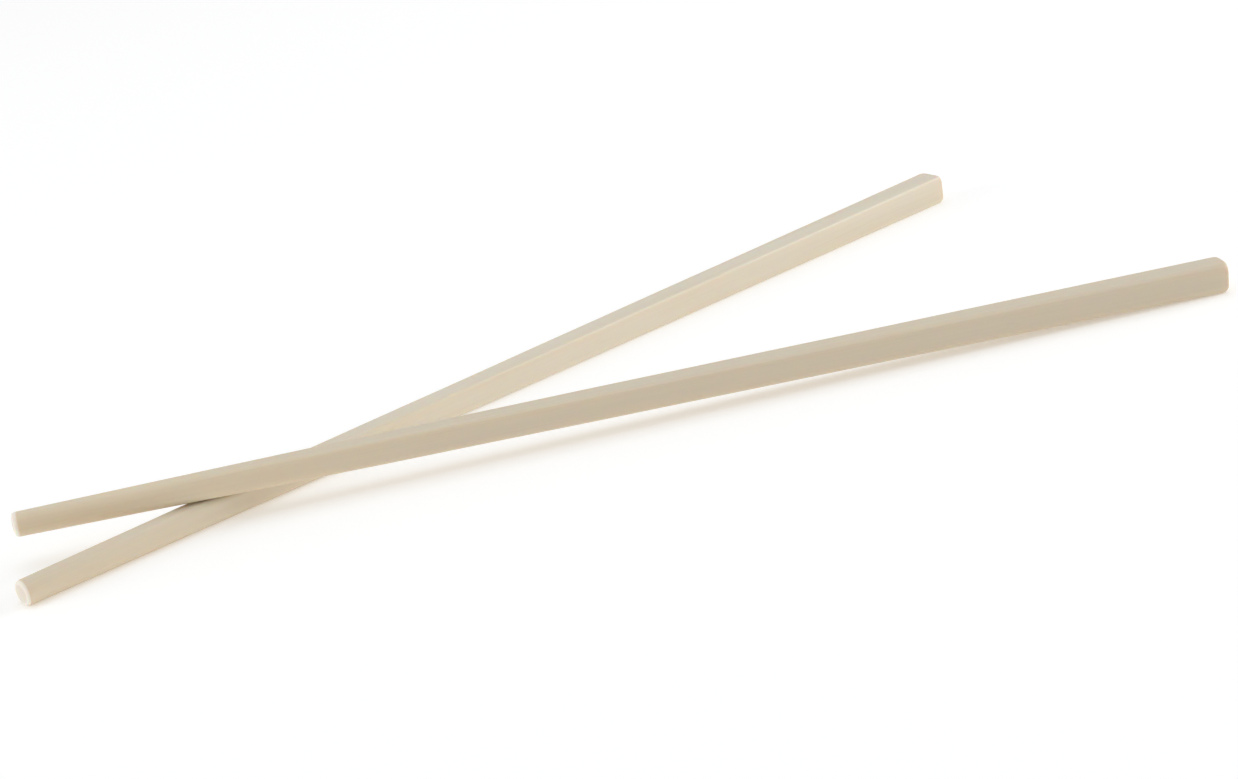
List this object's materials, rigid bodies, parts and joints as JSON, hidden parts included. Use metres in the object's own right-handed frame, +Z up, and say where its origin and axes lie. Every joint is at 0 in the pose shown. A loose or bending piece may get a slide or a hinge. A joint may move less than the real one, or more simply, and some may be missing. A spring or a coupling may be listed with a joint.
{
  "type": "pair of bamboo chopsticks",
  "caption": "Slim bamboo chopsticks with square bevelled butts and rounded points, lying crossed near their tips.",
  "frame": {"origin": "on the table under the middle of the crossed pair", "axes": "+Z up, +X along the lower stick from its tip to its butt, and the upper stick's butt towards -Y"},
  "size_m": [0.24, 0.1144, 0.0107],
  "materials": {
    "bamboo": "smooth sanded, bare"
  },
  "bodies": {
    "root": {"lower_chopstick": "bamboo", "upper_chopstick": "bamboo"}
  },
  "joints": []
}
